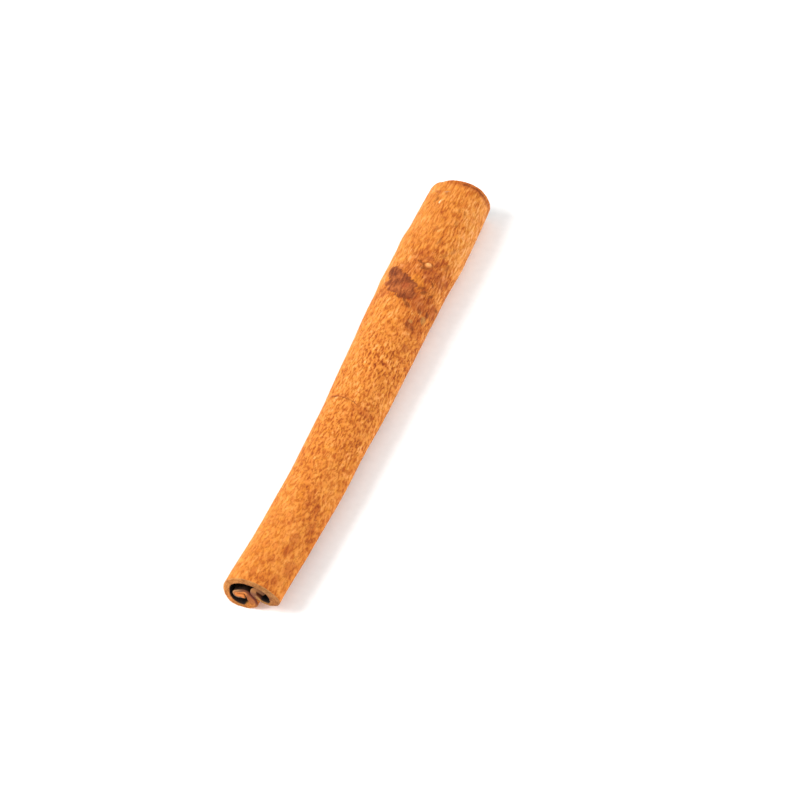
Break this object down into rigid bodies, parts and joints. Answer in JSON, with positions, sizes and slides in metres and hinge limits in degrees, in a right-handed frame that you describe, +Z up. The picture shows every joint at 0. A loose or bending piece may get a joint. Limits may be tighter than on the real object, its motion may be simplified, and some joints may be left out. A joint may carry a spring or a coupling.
{
  "type": "cinnamon stick",
  "caption": "Cassia cinnamon stick: a strip of bark rolled inwards from its long edges into a double scroll, with a seam underneath and open curls at the ends.",
  "frame": {"origin": "on the surface that the stick lies on, under the middle of the stick", "axes": "+Y along the stick, from the end with the tight scroll towards the wider end; +Z up, out of the smooth back; the seam between the two rolls faces down"},
  "size_m": [0.0096, 0.08, 0.0059],
  "materials": {
    "cassia_bark": "matt"
  },
  "bodies": {
    "root": {"rolled_bark": "cassia_bark"}
  },
  "joints": []
}
